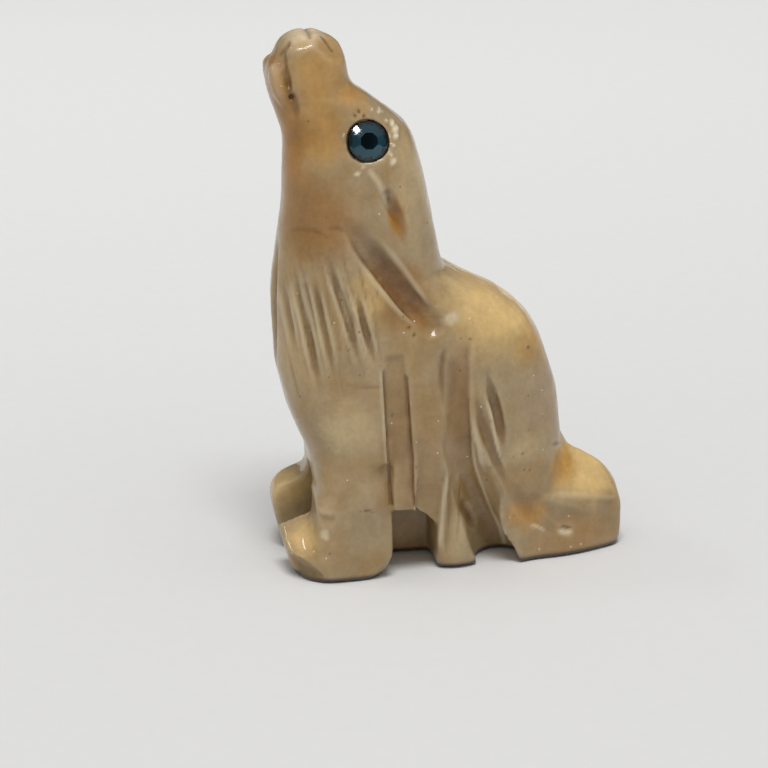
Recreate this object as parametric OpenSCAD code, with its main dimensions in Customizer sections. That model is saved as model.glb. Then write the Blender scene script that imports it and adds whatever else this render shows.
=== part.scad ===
// A sitting, howling coyote carved from one piece of soft stone. A foil-backed crystal is glued into a
// drilled socket on each side of its head. The animal faces -X, its left side is at -Y, and it sits on
// the floor at z = 0, with the origin under the middle of its bounding box. Sizes are in millimetres.

/* [Heights, stacked from the floor to the nose] */
// Height of the front paws
paw_h = 4.4; // [3.6:0.1:5]
// Height of the front legs above the paws
leg_h = 4.8; // [4.2:0.1:6]
// Height of the trunk above the legs, up to the nape
trunk_h = 10.7; // [9.5:0.1:12]
// Height of the neck, from the nape to the crown of the head
neck_h = 8.1; // [7:0.1:9.5]
// Height of the brow, from the crown to the foot of the muzzle
brow_h = 4.1; // [3.6:0.1:5]
// Length of the upward muzzle, from its foot to the nose
muzzle_h = 3.0; // [2.6:0.1:4]
// How far the lower jaw's tip stays below the nose
jaw_drop = 2.7; // [2.3:0.1:3.1]

/* [Depths, measured back from the jaw's plumb line] */
// Overall length, to the end of the tail
figure_l = 23.1; // [22:0.1:25]
// Depth to the toes
toe_in = 0.2; // [0.1:0.05:0.8]
// Height of the near front paw, which is cut lower than the far one, beside the slot
near_paw_h = 3.2; // [2.8:0.1:3.6]
// How far the sole's front edge lies behind the toes
toe_slant = 0.9; // [0.5:0.05:1.2]
// Depth to the front of the legs
leg_in = 2.4; // [2:0.1:2.8]
// Depth to the chest
chest_in = 0.2; // [0.1:0.05:0.5]
// Depth to the throat
throat_in = 1.0; // [0.6:0.05:1.3]
// Depth to the front edge of the nose's flat tip
nose_in = 1.9; // [1.6:0.05:2.2]
// Depth to the top line of the muzzle
muzzle_l = 5.1; // [4.7:0.1:5.7]
// How far the nose's flat tip ends before the top line of the muzzle
nose_slant = 2.0; // [1.7:0.05:2.3]
// Depth to the back of the crown
head_l = 9.3; // [8.8:0.1:10]
// Depth to the nape, where the neck meets the back
neck_l = 11.1; // [10.5:0.1:11.8]
// Depth to the rump
body_l = 19.0; // [18:0.1:20.4]
// How far the back leans forward from the rump to the foot of the hump
back_lean = 1.9; // [1.5:0.1:2.3]

/* [Widths] */
// Width of the nose
nose_w = 3.2; // [2.8:0.1:4]
// Width of the muzzle at its foot
muzzle_w = 5.0; // [4.4:0.1:5.8]
// Width of the head across the cheeks
head_w = 7.8; // [7:0.1:8.6]
// Width of the neck
neck_w = 8.4; // [7.8:0.1:9.2]
// Width of the trunk at the shoulders
shoulder_w = 9.6; // [9:0.1:10.6]
// Width across the haunches
haunch_w = 10.2; // [9.4:0.1:11.4]
// Width across the feet
foot_w = 9.0; // [8.2:0.1:10]

/* [Cuts round the legs] */
// Fore and aft size of the front leg
leg_l = 4.9; // [4.4:0.1:5.2]
// Width of the arch between the front and hind legs
arch_w = 3.0; // [2.4:0.1:3.4]
// Height of the arch
arch_h = 4.7; // [4:0.1:5.4]
// Width of the arch's ceiling, from the front leg to where it slopes down to the heel
arch_ceiling_w = 1.5; // [1:0.1:2]
// Height of the heel, where the sloping ceiling ends
heel_h = 3.2; // [2.4:0.1:3.8]
// Thickness of the stone between the left and right arch
arch_web_t = 1.2; // [0.8:0.1:2]
// How far the arch widens into the heel at the floor
heel_cut = 0.8; // [0.2:0.1:1.2]
// How far the side of the hind paw leans in at the floor
hind_paw_in = 1.0; // [0.6:0.1:1.2]
// Width of the slot between the left and right front legs
slot_w = 2.6; // [2:0.1:3.2]
// Height of the slot
slot_h = 6.6; // [5.4:0.1:7.6]
// Thickness of the stone between the slot and the back of the front legs
slot_back_t = 0.8; // [0.6:0.1:1.4]
// Width of the bevel along the rear edge of the front leg
leg_bevel_w = 1.2; // [0.8:0.1:1.6]
// Width of the flat channel behind the front leg
channel_w = 1.4; // [1:0.1:1.8]
// Depth of the channel
channel_d = 0.55; // [0.4:0.05:0.9]
// Distance of the channel's middle behind the front leg
channel_in = 0.3; // [0:0.1:0.6]
// Height of the channel's upper end
channel_top = 14.6; // [12:0.1:16]

/* [Carved grooves] */
// Width of the groove behind the ear
ear_w = 1.7; // [1.2:0.1:2]
// Depth of the groove behind the ear
ear_d = 0.6; // [0.4:0.05:0.8]
// Depth from the jaw's plumb line to the groove's upper end, on the cheek
ear_from = 4.3; // [3.9:0.1:5]
// Depth from the jaw's plumb line to the groove's lower end, under the nape
ear_to = 10.2; // [9.6:0.1:10.6]
// Width of the gouge in the ear
inner_ear_w = 1.0; // [0.7:0.1:1.3]
// Depth of the gouge in the ear
inner_ear_d = 0.3; // [0.2:0.05:0.4]
// Width of the strokes of the mane
mane_stroke_w = 0.7; // [0.5:0.05:0.9]
// Depth of the strokes of the mane
mane_stroke_d = 0.25; // [0.15:0.05:0.3]
// Width of the strokes on the thigh
thigh_stroke_w = 0.8; // [0.6:0.05:1]
// Depth of the strokes on the thigh
thigh_stroke_d = 0.3; // [0.2:0.05:0.4]
// Radius of the flute's upright stretch in front of the thigh
flute_top_r = 1.1; // [0.9:0.05:1.2]
// Radius of the flute's slanted stretch, down to the floor
flute_r = 1.45; // [1.3:0.05:1.6]
// Depth of the flute at the middle of the thigh
flute_d = 0.45; // [0.3:0.05:0.6]
// Depth of the flute at the floor
flute_floor_d = 2.3; // [1.8:0.1:2.6]
// Depth from the jaw's plumb line to the flute's upright stretch
flute_from = 11.4; // [11:0.1:12]
// Depth from the jaw's plumb line to the flute's end at the floor
flute_to = 14.7; // [14:0.1:15.4]

/* [Tail] */
// Width of the tail where it leaves the rump
tail_w = 5.0; // [4.4:0.1:5.4]
// Width of the tail's end
tail_end_w = 2.8; // [2.2:0.1:3.6]
// Height of the tail's upright sides
tail_side_h = 4.1; // [3.4:0.1:4.6]
// Height of the tail where it leaves the rump
tail_h = 6.9; // [6:0.1:7.8]
// How far the hollow between rump and tail climbs above the tail
tail_fillet_h = 2.2; // [1.6:0.1:2.6]
// Height of the tail's upright end
tail_end_h = 3.1; // [2.4:0.1:3.6]
// How far the tail reaches into the rump
tail_root_l = 3.0; // [2:0.1:4]

/* [Mouth] */
// Width of the mouth at its open end
mouth_w = 0.6; // [0.4:0.05:0.8]
// Length of the mouth below the nose
mouth_l = 4.9; // [4:0.1:5.4]
// Thickness of the stone between the mouth's left and right side
mouth_web_t = 3.0; // [2.2:0.1:3.4]
// Width of the bevels along the nose's tip
nose_bevel_w = 0.8; // [0.5:0.1:1.1]

/* [Eyes] */
// Diameter of the crystal
eye_d = 2.7; // [2.3:0.05:3]
// Diameter of the crystal's flat table, across its corners
eye_table_d = 1.3; // [0.9:0.05:1.7]
// Height of the crystal's round girdle
eye_girdle_h = 0.35; // [0.25:0.05:0.5]
// Height of the crystal's faceted crown
eye_crown_h = 0.6; // [0.4:0.05:0.8]
// Thickness of the foil on the crystal's back
foil_t = 0.08; // [0.05:0.01:0.12]
// Thickness of the glue under the foil
glue_floor_t = 0.15; // [0.1:0.05:0.25]
// Width of the ring of glue round the crystal
glue_ring_w = 0.15; // [0.1:0.05:0.25]
// How deep the crystal's back sits under the stone's surface
eye_sink = 0.45; // [0.35:0.05:0.6]
// Height of the eye above the crown
eye_up = 0.9; // [0.5:0.1:1.3]
// Depth from the jaw's plumb line to the eye
eye_in = 5.9; // [5.6:0.1:6.3]

/* [Hidden] */

// Facets of round forms, sides and steps of a gouge stroke, how far its ends stay clear of the stone,
// facets of the crystals' crowns, and how far a cut runs past the stone
round_fn = 64;
stroke_sides = 14;
stroke_steps = 8;
stroke_clear = 0.1;
crown_facets = 8;
over = 1;

// Levels of the outline
leg_z = paw_h + leg_h;
nape_z = leg_z + trunk_h;
crown_z = nape_z + neck_h;
stop_z = crown_z + brow_h;
nose_z = stop_z + muzzle_h;
jaw_z = nose_z - jaw_drop;

// A depth behind the jaw's plumb line as an x position
function at(depth) = depth - figure_l / 2;

function mix(a, b, share) = a + (b - a) * share;

// Smooth curve through points of [level, value], with no overshoot between them
function slope(p, i) = (p[i + 1][1] - p[i][1]) / (p[i + 1][0] - p[i][0]);
function tangent(p, i) =
    i == 0 ? slope(p, 0)
    : i == len(p) - 1 ? slope(p, i - 1)
    : slope(p, i - 1) * slope(p, i) <= 0 ? 0
    : 2 * slope(p, i - 1) * slope(p, i) / (slope(p, i - 1) + slope(p, i));
function span(p, level, i = 0) = i >= len(p) - 2 || level < p[i + 1][0] ? i : span(p, level, i + 1);
function hermite(p, i, t) =
    let (h = p[i + 1][0] - p[i][0])
    mix(p[i][1], p[i + 1][1], t * t * (3 - 2 * t))
    + h * t * (1 - t) * ((1 - t) * tangent(p, i) - t * tangent(p, i + 1));
function smooth(p, level) =
    let (i = span(p, level))
    hermite(p, i, (level - p[i][0]) / (p[i + 1][0] - p[i][0]));

// Side outline of the block: where its front and its back lie at each level
front_line = [
    [0, at(toe_in + toe_slant)],
    [0.25 * paw_h, at(toe_in + toe_slant * 5 / 9)],
    [0.85 * paw_h, at(toe_in)],
    [1.02 * paw_h, at(toe_in + toe_slant * 5 / 9)],
    [1.15 * paw_h, at(mix(toe_in, leg_in, 9 / 11))],
    [paw_h + 0.28 * leg_h, at(mix(toe_in, leg_in, 23 / 22))],
    [paw_h + 0.62 * leg_h, at(leg_in)],
    [paw_h + 0.8 * leg_h, at(mix(chest_in, leg_in, 0.87))],
    [leg_z, at(mix(chest_in, leg_in, 0.66))],
    [leg_z + 0.22 * trunk_h, at(mix(chest_in, leg_in, 0.3))],
    [leg_z + 0.45 * trunk_h, at(mix(chest_in, leg_in, 0.08))],
    [leg_z + 0.82 * trunk_h, at(chest_in)],
    [nape_z, at(mix(chest_in, throat_in, 0.1))],
    [nape_z + 0.25 * neck_h, at(mix(chest_in, throat_in, 0.5))],
    [nape_z + 0.85 * neck_h, at(throat_in)],
    [crown_z + 0.12 * brow_h, at(throat_in)],
    [mix(crown_z, jaw_z, 0.5), at(0.5 * throat_in)],
    [jaw_z - 0.1 * jaw_drop, at(0)],
    [jaw_z + 0.15 * jaw_drop, at(0.05 * nose_in)],
    [jaw_z + 0.45 * jaw_drop, at(0.26 * nose_in)],
    [jaw_z + 0.75 * jaw_drop, at(0.45 * nose_in)],
    [jaw_z + 0.93 * jaw_drop, at(0.74 * nose_in)],
    [nose_z, at(nose_in)],
];
back_line = [
    [0, at(body_l - 0.32 * back_lean)],
    [0.25 * leg_z, at(body_l)],
    [0.85 * leg_z, at(body_l)],
    [leg_z + 0.2 * trunk_h, at(body_l - 0.21 * back_lean)],
    [leg_z + 0.35 * trunk_h, at(body_l - 0.45 * back_lean)],
    [leg_z + 0.5 * trunk_h, at(body_l - 0.74 * back_lean)],
    [leg_z + 0.6 * trunk_h, at(body_l - back_lean)],
    [leg_z + 0.7 * trunk_h, at(mix(body_l, neck_l, 0.34))],
    [leg_z + 0.785 * trunk_h, at(mix(body_l, neck_l, 0.48))],
    [leg_z + 0.865 * trunk_h, at(mix(body_l, neck_l, 0.68))],
    [leg_z + 0.94 * trunk_h, at(mix(body_l, neck_l, 0.87))],
    [nape_z, at(neck_l)],
    [nape_z + 0.5 * neck_h, at(mix(neck_l, head_l, 0.5))],
    [crown_z, at(head_l)],
    [crown_z + 0.2 * brow_h, at(mix(head_l, muzzle_l, 1 / 12))],
    [crown_z + 0.4 * brow_h, at(mix(head_l, muzzle_l, 0.27))],
    [crown_z + 0.6 * brow_h, at(mix(head_l, muzzle_l, 0.5))],
    [crown_z + 0.78 * brow_h, at(mix(head_l, muzzle_l, 0.75))],
    [crown_z + 0.93 * brow_h, at(mix(head_l, muzzle_l, 0.96))],
    [stop_z + 0.06 * muzzle_h, at(muzzle_l)],
    [stop_z + 0.4 * muzzle_h, at(muzzle_l - 0.075 * nose_slant)],
    [stop_z + 0.72 * muzzle_h, at(muzzle_l - 0.25 * nose_slant)],
    [stop_z + 0.93 * muzzle_h, at(muzzle_l - 0.65 * nose_slant)],
    [nose_z, at(muzzle_l - nose_slant)],
];

// Half width of the block at each level, the squareness of its section there in front and behind, and
// how far it widens to the back
half_width = [
    [0, 0.467 * foot_w],
    [0.5 * paw_h, 0.5 * foot_w],
    [leg_z, 0.5 * haunch_w],
    [leg_z + 0.6 * trunk_h, 0.5 * shoulder_w],
    [nape_z + 0.2 * neck_h, 0.5 * neck_w],
    [crown_z - 0.2 * neck_h, 0.5 * head_w],
    [stop_z, 0.5 * muzzle_w],
    [stop_z + 0.75 * muzzle_h, 0.5 * mix(muzzle_w, nose_w, 0.6)],
    [nose_z, 0.5 * nose_w],
];
squareness = [[0, 6], [paw_h, 5.5], [leg_z, 3], [nape_z, 2.6], [crown_z, 2.4], [nose_z, 3]];
rear_squareness = [[0, 2.5], [paw_h, 2.4], [leg_z, 2.5], [nape_z, 2.6], [crown_z, 2.4], [nose_z, 3]];
back_widening = [[0, -0.25], [leg_z, -0.06], [nape_z, 0.05], [crown_z, 0.2], [stop_z, 0.05], [nose_z, 0]];

// Half width of the block at a share of its depth, from -1 at the front to 1 at the back
function section(share, z) = smooth(share < 0 ? squareness : rear_squareness, z);
function side_at(share, z) =
    let (n = section(share, z))
    smooth(half_width, z) * pow(1 - pow(abs(share), n), 1 / n) * (1 + smooth(back_widening, z) * share);
function side_y(x, z) =
    let (front = smooth(front_line, z), back = smooth(back_line, z))
    side_at(min(1, max(-1, (2 * x - front - back) / (back - front))), z);

// Point beside the left flank of the block, lifted off the stone
function by_side(x, z, lift = 0) = [x, -side_y(x, z) - lift, z];

// Solid skinned over rings with the same number of points, closed by a flat cap at each end
module skin(rings) {
    n = len(rings[0]);
    last = len(rings) - 1;
    polyhedron(
        points = [for (ring = rings) each ring],
        faces = concat(
            [[for (i = [0 : n - 1]) i]],
            [for (k = [0 : last - 1], i = [0 : n - 1])
                let (a = k * n + i, b = k * n + (i + 1) % n)
                each [[a, a + n, b], [b, a + n, b + n]]],
            [[for (i = [n - 1 : -1 : 0]) last * n + i]]
        )
    );
}

// Section of the block at one level, from its front along the left side and back along the right
side_steps = 30;
function block_ring(z) =
    let (
        front = smooth(front_line, z),
        back = smooth(back_line, z),
        shares = [for (i = [0 : side_steps])
            let (c = -cos(180 * i / side_steps)) sign(c) * pow(abs(c), 2 / section(c, z))]
    )
    concat(
        [for (i = [0 : side_steps - 1])
            [mix(front, back, (1 + shares[i]) / 2), -side_at(shares[i], z), z]],
        [for (i = [side_steps : -1 : 1])
            [mix(front, back, (1 + shares[i]) / 2), side_at(shares[i], z), z]]
    );

// Levels of the rings, as stretches of [bottom, top, steps]
stretches = [
    [0, 0.8 * paw_h, 5], [0.8 * paw_h, 1.2 * paw_h, 7], [1.2 * paw_h, leg_z, 6], [leg_z, nape_z, 15],
    [nape_z, crown_z, 9], [crown_z, stop_z, 8], [stop_z, nose_z, 8],
];
levels = [
    for (s = stretches) each [for (k = [0 : s[2] - 1]) mix(s[0], s[1], k / s[2])],
    nose_z
];
module block() skin([for (z = levels) block_ring(z)]);

// Tail: a loaf with a ridge along each side, which leaves the rump in a hollow and ends upright
tail_line = [
    [at(body_l - tail_root_l), tail_h + 1.1 * tail_fillet_h],
    [at(body_l - 0.2 * tail_root_l), tail_h + tail_fillet_h],
    [at(mix(body_l, figure_l, 0.05)), tail_h + 0.35 * tail_fillet_h],
    [at(mix(body_l, figure_l, 0.16)), tail_h],
    [at(mix(body_l, figure_l, 0.43)), mix(tail_h, tail_end_h, 0.17)],
    [at(mix(body_l, figure_l, 0.7)), mix(tail_h, tail_end_h, 0.36)],
    [at(mix(body_l, figure_l, 0.87)), mix(tail_h, tail_end_h, 0.6)],
    [at(mix(body_l, figure_l, 0.97)), mix(tail_h, tail_end_h, 0.81)],
    [at(figure_l), tail_end_h],
];
tail_side_limit = 0.9;
tail_dome = 1.5;
tail_rounding = 12;
tail_steps = 22;
tail_levels = 24;
function tail_ring(x) =
    let (
        share = (x - at(body_l)) / (figure_l - body_l),
        h = smooth(tail_line, x),
        side_h = min(tail_side_h, tail_side_limit * h),
        w = 0.5 * mix(tail_w, tail_end_w, share) * (1 - 0.15 * pow(max(0, share), tail_rounding))
    )
    concat(
        [[x, w, 0]],
        [for (i = [0 : tail_steps])
            let (c = cos(180 * i / tail_steps))
            [x, w * c, mix(side_h, h, 1 - pow(abs(c), tail_dome))]],
        [[x, -w, 0]]
    );
module tail() {
    start = tail_line[0][0];
    skin([for (k = [0 : tail_levels]) tail_ring(mix(start, at(figure_l), k / tail_levels))]);
}

// Round-topped slot
module slot_profile(width, height) {
    spring = height - width / 2;
    translate([0, -over]) square([width, spring + over]);
    translate([width / 2, spring]) circle(d = width, $fn = round_fn);
}

// Arch: upright along the front leg, with a ceiling that slopes down to the heel
module arch_profile() {
    polygon([[-heel_cut, -over], [arch_w, -over], [arch_w, heel_h], [arch_ceiling_w, arch_h], [0, arch_h],
             [0, heel_h / 2]]);
}

leg_back_x = at(leg_in) + leg_l;
module arch_cut() {
    translate([leg_back_x, -arch_web_t / 2, 0]) rotate([90, 0, 0])
        linear_extrude(height = haunch_w) arch_profile();
}
module leg_slot_cut() {
    translate([at(-over), -slot_w / 2, 0]) rotate([90, 0, 90])
        linear_extrude(height = leg_back_x - slot_back_t - at(-over)) slot_profile(slot_w, slot_h);
}

// Half space that starts at a point and lies ahead of it, as large as the stone
module beyond(on, outward) {
    translate(on) rotate([0, acos(outward[2] / norm(outward)), atan2(outward[1], outward[0])])
        translate([0, 0, figure_l]) cube(2 * figure_l, center = true);
}

// Sloping top of the near paw, in front of the leg
paw_top_slope = [-0.32, -0.45, 0.83];
module near_paw_cut() {
    intersection() {
        beyond([at(mix(toe_in, leg_in, 0.25)), -slot_w / 2, near_paw_h], paw_top_slope);
        translate([at(-over), -foot_w, 0]) cube([leg_in + over, foot_w, paw_h + over]);
    }
}

// Side of the hind paw, which leans in to the floor
module hind_paw_cut() {
    lean = [0, -leg_z / 2, -hind_paw_in];
    intersection() {
        beyond([0, -0.467 * foot_w + hind_paw_in, 0], lean);
        translate([leg_back_x + channel_w, -haunch_w, -over])
            cube([at(flute_to) - leg_back_x - channel_w, haunch_w, leg_z + 2 * over]);
    }
}

// Bevel along the rear edge of the front leg, up to where the leg joins the trunk
leg_bevel_slope = [0.58, -0.81, 0.08];
module leg_bevel_cut() {
    intersection() {
        beyond(by_side(leg_back_x - leg_bevel_w, paw_h), leg_bevel_slope);
        translate([leg_back_x - 2 * leg_bevel_w, -haunch_w, -over])
            cube([2 * leg_bevel_w, haunch_w, mix(paw_h, leg_z, 0.75) + over]);
    }
}

// Flat bevels along the left side of the nose's tip and behind it
nose_bevel_slope = [-0.2, -0.6, 0.77];
nose_rear_slope = [0.55, -0.5, 0.67];
module nose_bevel_cut() {
    beyond([at(nose_in), -nose_w / 2 + nose_bevel_w / 2, nose_z - nose_bevel_w / 4], nose_bevel_slope);
    beyond([at(muzzle_l - nose_slant), -nose_w / 2 + nose_bevel_w / 2, nose_z - nose_bevel_w / 4],
           nose_rear_slope);
}

// Mouth: a tapering slit in each side of the muzzle, open in front of the nose
mouth_lean = -10.5;
mouth_in = 0.7;
mouth_end_w = 0.2;
module mouth_cut() {
    translate([at(mouth_in), -mouth_web_t / 2, nose_z]) rotate([90, mouth_lean, 0])
        linear_extrude(height = head_w)
            polygon([[-mouth_w / 2, over], [mouth_w / 2, over],
                     [mouth_end_w / 2, -mouth_l], [-mouth_end_w / 2, -mouth_l]]);
}

// Round cutter from one point to another, run on past its end
module rod(a, b, r, run_on = 0) {
    v = b - a;
    translate(a) rotate([0, acos(v[2] / norm(v)), atan2(v[1], v[0])])
        cylinder(r = r, h = norm(v) + run_on, $fn = round_fn);
}

// Groove behind the ear, from the cheek down to the top of the flank
flank_z = nape_z - 0.3 * trunk_h;
ear_r = gouge_r(ear_w, ear_d);
module ear_groove_cut() {
    rod(by_side(at(ear_from), nape_z + 0.53 * neck_h, ear_r),
        by_side(at(ear_to), flank_z, ear_r - ear_d), ear_r);
}

// Round gouge stroke on the flank, deepest at half its length and run out to nothing at both ends. The
// ends are given as a depth behind the jaw's plumb line and a level.
function gouge_r(width, depth) = (width * width / 4 + depth * depth) / (2 * depth);
function gouge_ring(start, end, share, r, depth) =
    let (
        way = (end - start) / norm(end - start),
        on = mix(start, end, share),
        sink = (depth + stroke_clear) * 4 * share * (1 - share),
        middle = by_side(at(on[0]), on[1], r + stroke_clear - sink)
    )
    [for (i = [0 : stroke_sides - 1])
        let (turn = 360 * i / stroke_sides)
        middle + r * [sin(turn) * way[1], -cos(turn), -sin(turn) * way[0]]];
module gouge_cut(start, end, width, depth) {
    r = gouge_r(width, depth);
    skin([for (k = [0 : stroke_steps]) gouge_ring(start, end, k / stroke_steps, r, depth)]);
}

// Gouge in the ear, strokes of the mane, and strokes down the thigh
inner_ear = [[6.8, crown_z - 0.25 * neck_h], [8.6, nape_z + 0.25 * neck_h]];
mane_strokes = [
    [[1.4, nape_z + 0.05 * neck_h], [2.8, leg_z + 0.28 * trunk_h]],
    [[3.4, nape_z + 0.2 * neck_h], [5.2, leg_z + 0.5 * trunk_h]],
    [[5.1, nape_z - 0.05 * trunk_h], [6.1, leg_z + 0.5 * trunk_h]],
];
thigh_strokes = [
    [[13.2, leg_z + 0.45 * trunk_h], [14.5, leg_z - 0.2 * leg_h]],
    [[12.5, leg_z + 0.32 * trunk_h], [14.9, paw_h + 0.25 * leg_h]],
];
module fur_cut() {
    gouge_cut(inner_ear[0], inner_ear[1], inner_ear_w, inner_ear_d);
    for (s = mane_strokes) gouge_cut(s[0], s[1], mane_stroke_w, mane_stroke_d);
    for (s = thigh_strokes) gouge_cut(s[0], s[1], thigh_stroke_w, thigh_stroke_d);
}

// Flute in front of the thigh: upright at first, then slanted back to the floor
flute_run_out = 0.2;
flute_lead = 0.3;
module flute_cut() {
    bend = by_side(at(flute_from), leg_z, flute_r - flute_d);
    foot = by_side(at(flute_to), 0, flute_r - flute_floor_d);
    rod(by_side(at(flute_from), flank_z, flute_top_r + flute_run_out),
        by_side(at(flute_from), leg_z, flute_top_r - flute_d), flute_top_r, over / 2);
    rod(mix(bend, foot, -flute_lead), foot, flute_r, over);
}

// Flat channel behind the front leg, down to the arch
channel_lean = -3.3;
module channel_cut() {
    length = channel_top - arch_h + channel_w;
    translate(by_side(leg_back_x + channel_in, mix(arch_h, channel_top, 0.5))) rotate([0, channel_lean, 0])
        translate([-channel_w / 2, -over, -length / 2]) cube([channel_w, over + channel_d, length]);
}

module left_side_cuts() {
    arch_cut();
    mouth_cut();
    ear_groove_cut();
    flute_cut();
    channel_cut();
    fur_cut();
    hind_paw_cut();
    leg_bevel_cut();
    nose_bevel_cut();
    at_left_eye() socket_cut();
}

// Seat of the left eye on the stone, square to the surface there
eye_x = at(eye_in);
eye_z = crown_z + eye_up;
probe = 0.4;
eye_lean_x = (side_y(eye_x + probe, eye_z) - side_y(eye_x - probe, eye_z)) / (2 * probe);
eye_lean_z = (side_y(eye_x, eye_z + probe) - side_y(eye_x, eye_z - probe)) / (2 * probe);
eye_axis = [-eye_lean_x, -1, -eye_lean_z] / norm([eye_lean_x, 1, eye_lean_z]);
module at_left_eye() {
    translate(by_side(eye_x, eye_z))
        rotate([0, acos(eye_axis[2]), atan2(eye_axis[1], eye_axis[0])])
            children();
}
module at_right_eye() mirror([0, 1, 0]) at_left_eye() children();

socket_r = eye_d / 2 + glue_ring_w;
socket_floor = -eye_sink - foil_t - glue_floor_t;
module socket_cut() translate([0, 0, socket_floor]) cylinder(r = socket_r, h = head_w / 2, $fn = round_fn);

module stone_body() {
    color("tan") difference() {
        union() {
            block();
            tail();
        }
        leg_slot_cut();
        near_paw_cut();
        left_side_cuts();
        mirror([0, 1, 0]) left_side_cuts();
    }
}

// Flat-backed crystal: a round girdle under a crown of flat facets and a table
module eye_crystal() {
    crown_r = eye_d / 2 / cos(180 / crown_facets);
    color("teal") translate([0, 0, -eye_sink]) {
        cylinder(d = eye_d, h = eye_girdle_h, $fn = round_fn);
        translate([0, 0, eye_girdle_h]) intersection() {
            cylinder(d = eye_d, h = eye_crown_h, $fn = round_fn);
            cylinder(r1 = crown_r, r2 = eye_table_d / 2, h = eye_crown_h, $fn = crown_facets);
        }
    }
}

module eye_foil() {
    color("midnightblue") translate([0, 0, -eye_sink - foil_t])
        cylinder(d = eye_d, h = foil_t, $fn = round_fn);
}

// Cup of glue that fills the socket under and round the crystal, up to its girdle
module eye_glue() {
    color("lightgoldenrodyellow") difference() {
        translate([0, 0, socket_floor])
            cylinder(r = socket_r, h = eye_girdle_h - eye_sink - socket_floor, $fn = round_fn);
        translate([0, 0, -eye_sink - foil_t]) cylinder(d = eye_d, h = eye_sink + over, $fn = round_fn);
    }
}

stone_body();
at_left_eye() eye_crystal();  // left_eye_crystal
at_left_eye() eye_foil();  // left_eye_foil
at_left_eye() eye_glue();  // left_eye_glue
at_right_eye() eye_crystal();  // right_eye_crystal
at_right_eye() eye_foil();  // right_eye_foil
at_right_eye() eye_glue();  // right_eye_glue
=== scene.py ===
# %% [markdown]
# A howling coyote, carved from one small block of soft stone
#
# The real thing is a pocket-size folk carving: one block of tan stone, cut with saw, gouge and knife,
# polished and lacquered, with a blue foil-backed crystal glued into a socket on each side of its head.
# The solids from CAD give its size, its outline and its large cuts. This lesson dresses them: it lays an
# even skin over the stone, carves the fine strokes into it, mixes a procedural stone, and cuts the eyes.
# Everything is in metres, in the frame of the CAD model: the animal faces -X and its left side is at -Y.

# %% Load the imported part
import math

import bmesh
import bpy
import numpy as np
from mathutils import Matrix, Vector, noise


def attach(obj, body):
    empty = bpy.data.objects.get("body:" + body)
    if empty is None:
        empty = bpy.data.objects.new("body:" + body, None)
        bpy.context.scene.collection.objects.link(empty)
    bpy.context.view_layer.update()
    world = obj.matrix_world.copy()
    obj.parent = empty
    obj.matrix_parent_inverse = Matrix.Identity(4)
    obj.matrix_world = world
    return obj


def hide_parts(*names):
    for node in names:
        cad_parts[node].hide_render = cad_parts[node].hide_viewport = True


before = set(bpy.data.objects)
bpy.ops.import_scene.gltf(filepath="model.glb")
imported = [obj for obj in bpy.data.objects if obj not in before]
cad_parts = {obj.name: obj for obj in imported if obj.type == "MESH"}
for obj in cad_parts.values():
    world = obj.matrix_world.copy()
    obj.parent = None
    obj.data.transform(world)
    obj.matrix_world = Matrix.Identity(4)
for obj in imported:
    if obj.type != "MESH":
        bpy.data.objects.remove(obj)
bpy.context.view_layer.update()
scene = bpy.context.scene
MM = 0.001

# %% [markdown]
# The camera stands where the photographer stood: 20 degrees above the table, a little in front of the
# animal's left side. A long lens from 19 cm gives the photo's mild perspective. Rather than turning the
# camera by eye, its three axes are worked out from the two angles, and the aim from the pixel at which
# the middle of the base shows.

# %% Camera
IMAGE_PX = 768
SENSOR_W = 36.0
pixel = MM / 15.12
azimuth = math.radians(-9.0)
elevation = math.radians(20.0)
distance = 190.0 * MM
base_px = (445.7, 547.0)

back = Vector((
    math.sin(azimuth) * math.cos(elevation),
    -math.cos(azimuth) * math.cos(elevation),
    math.sin(elevation),
))
right = Vector((math.cos(azimuth), math.sin(azimuth), 0.0))
up = back.cross(right)
aim = right * (IMAGE_PX / 2 - base_px[0]) * pixel + up * (base_px[1] - IMAGE_PX / 2) * pixel

camera_data = bpy.data.cameras.new("camera")
camera_data.sensor_width = SENSOR_W
camera_data.lens = SENSOR_W * distance / (IMAGE_PX * pixel)
camera_data.clip_start = 5 * MM
camera = bpy.data.objects.new("camera", camera_data)
turn = Matrix((right, up, back)).transposed().to_4x4()
camera.matrix_world = Matrix.Translation(aim + back * distance) @ turn
scene.collection.objects.link(camera)
scene.camera = camera
print("lens", round(camera_data.lens, 1), "mm")

# %% [markdown]
# Materials here are made of nodes, so a few small helpers keep the later cells short: one adds a node
# with its settings and inputs, one does arithmetic, one mixes two colours, one makes a soft threshold,
# and one starts a finish. An input is either a plain value or the output of another node.

# %% Helpers for node materials
def add(tree, kind, inputs=None, **settings):
    made = tree.nodes.new("ShaderNode" + kind)
    for name, value in settings.items():
        setattr(made, name, value)
    for socket, value in (inputs or {}).items():
        if isinstance(value, bpy.types.NodeSocket):
            tree.links.new(value, made.inputs[socket])
        else:
            made.inputs[socket].default_value = value
    return made


def calc(tree, operation, first, second=0.0):
    return add(tree, "Math", {0: first, 1: second}, operation=operation).outputs[0]


def move(tree, operation, first, second):
    return add(tree, "VectorMath", {0: first, 1: second}, operation=operation).outputs[0]


def tint(tree, share, under, over, how="MIX"):
    made = add(tree, "Mix", data_type="RGBA", blend_type=how, clamp_factor=True)
    for index, value in ((0, share), (6, under), (7, over)):
        if isinstance(value, bpy.types.NodeSocket):
            tree.links.new(value, made.inputs[index])
        else:
            made.inputs[index].default_value = value if index == 0 else (*value, 1.0)
    return made.outputs[2]


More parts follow.
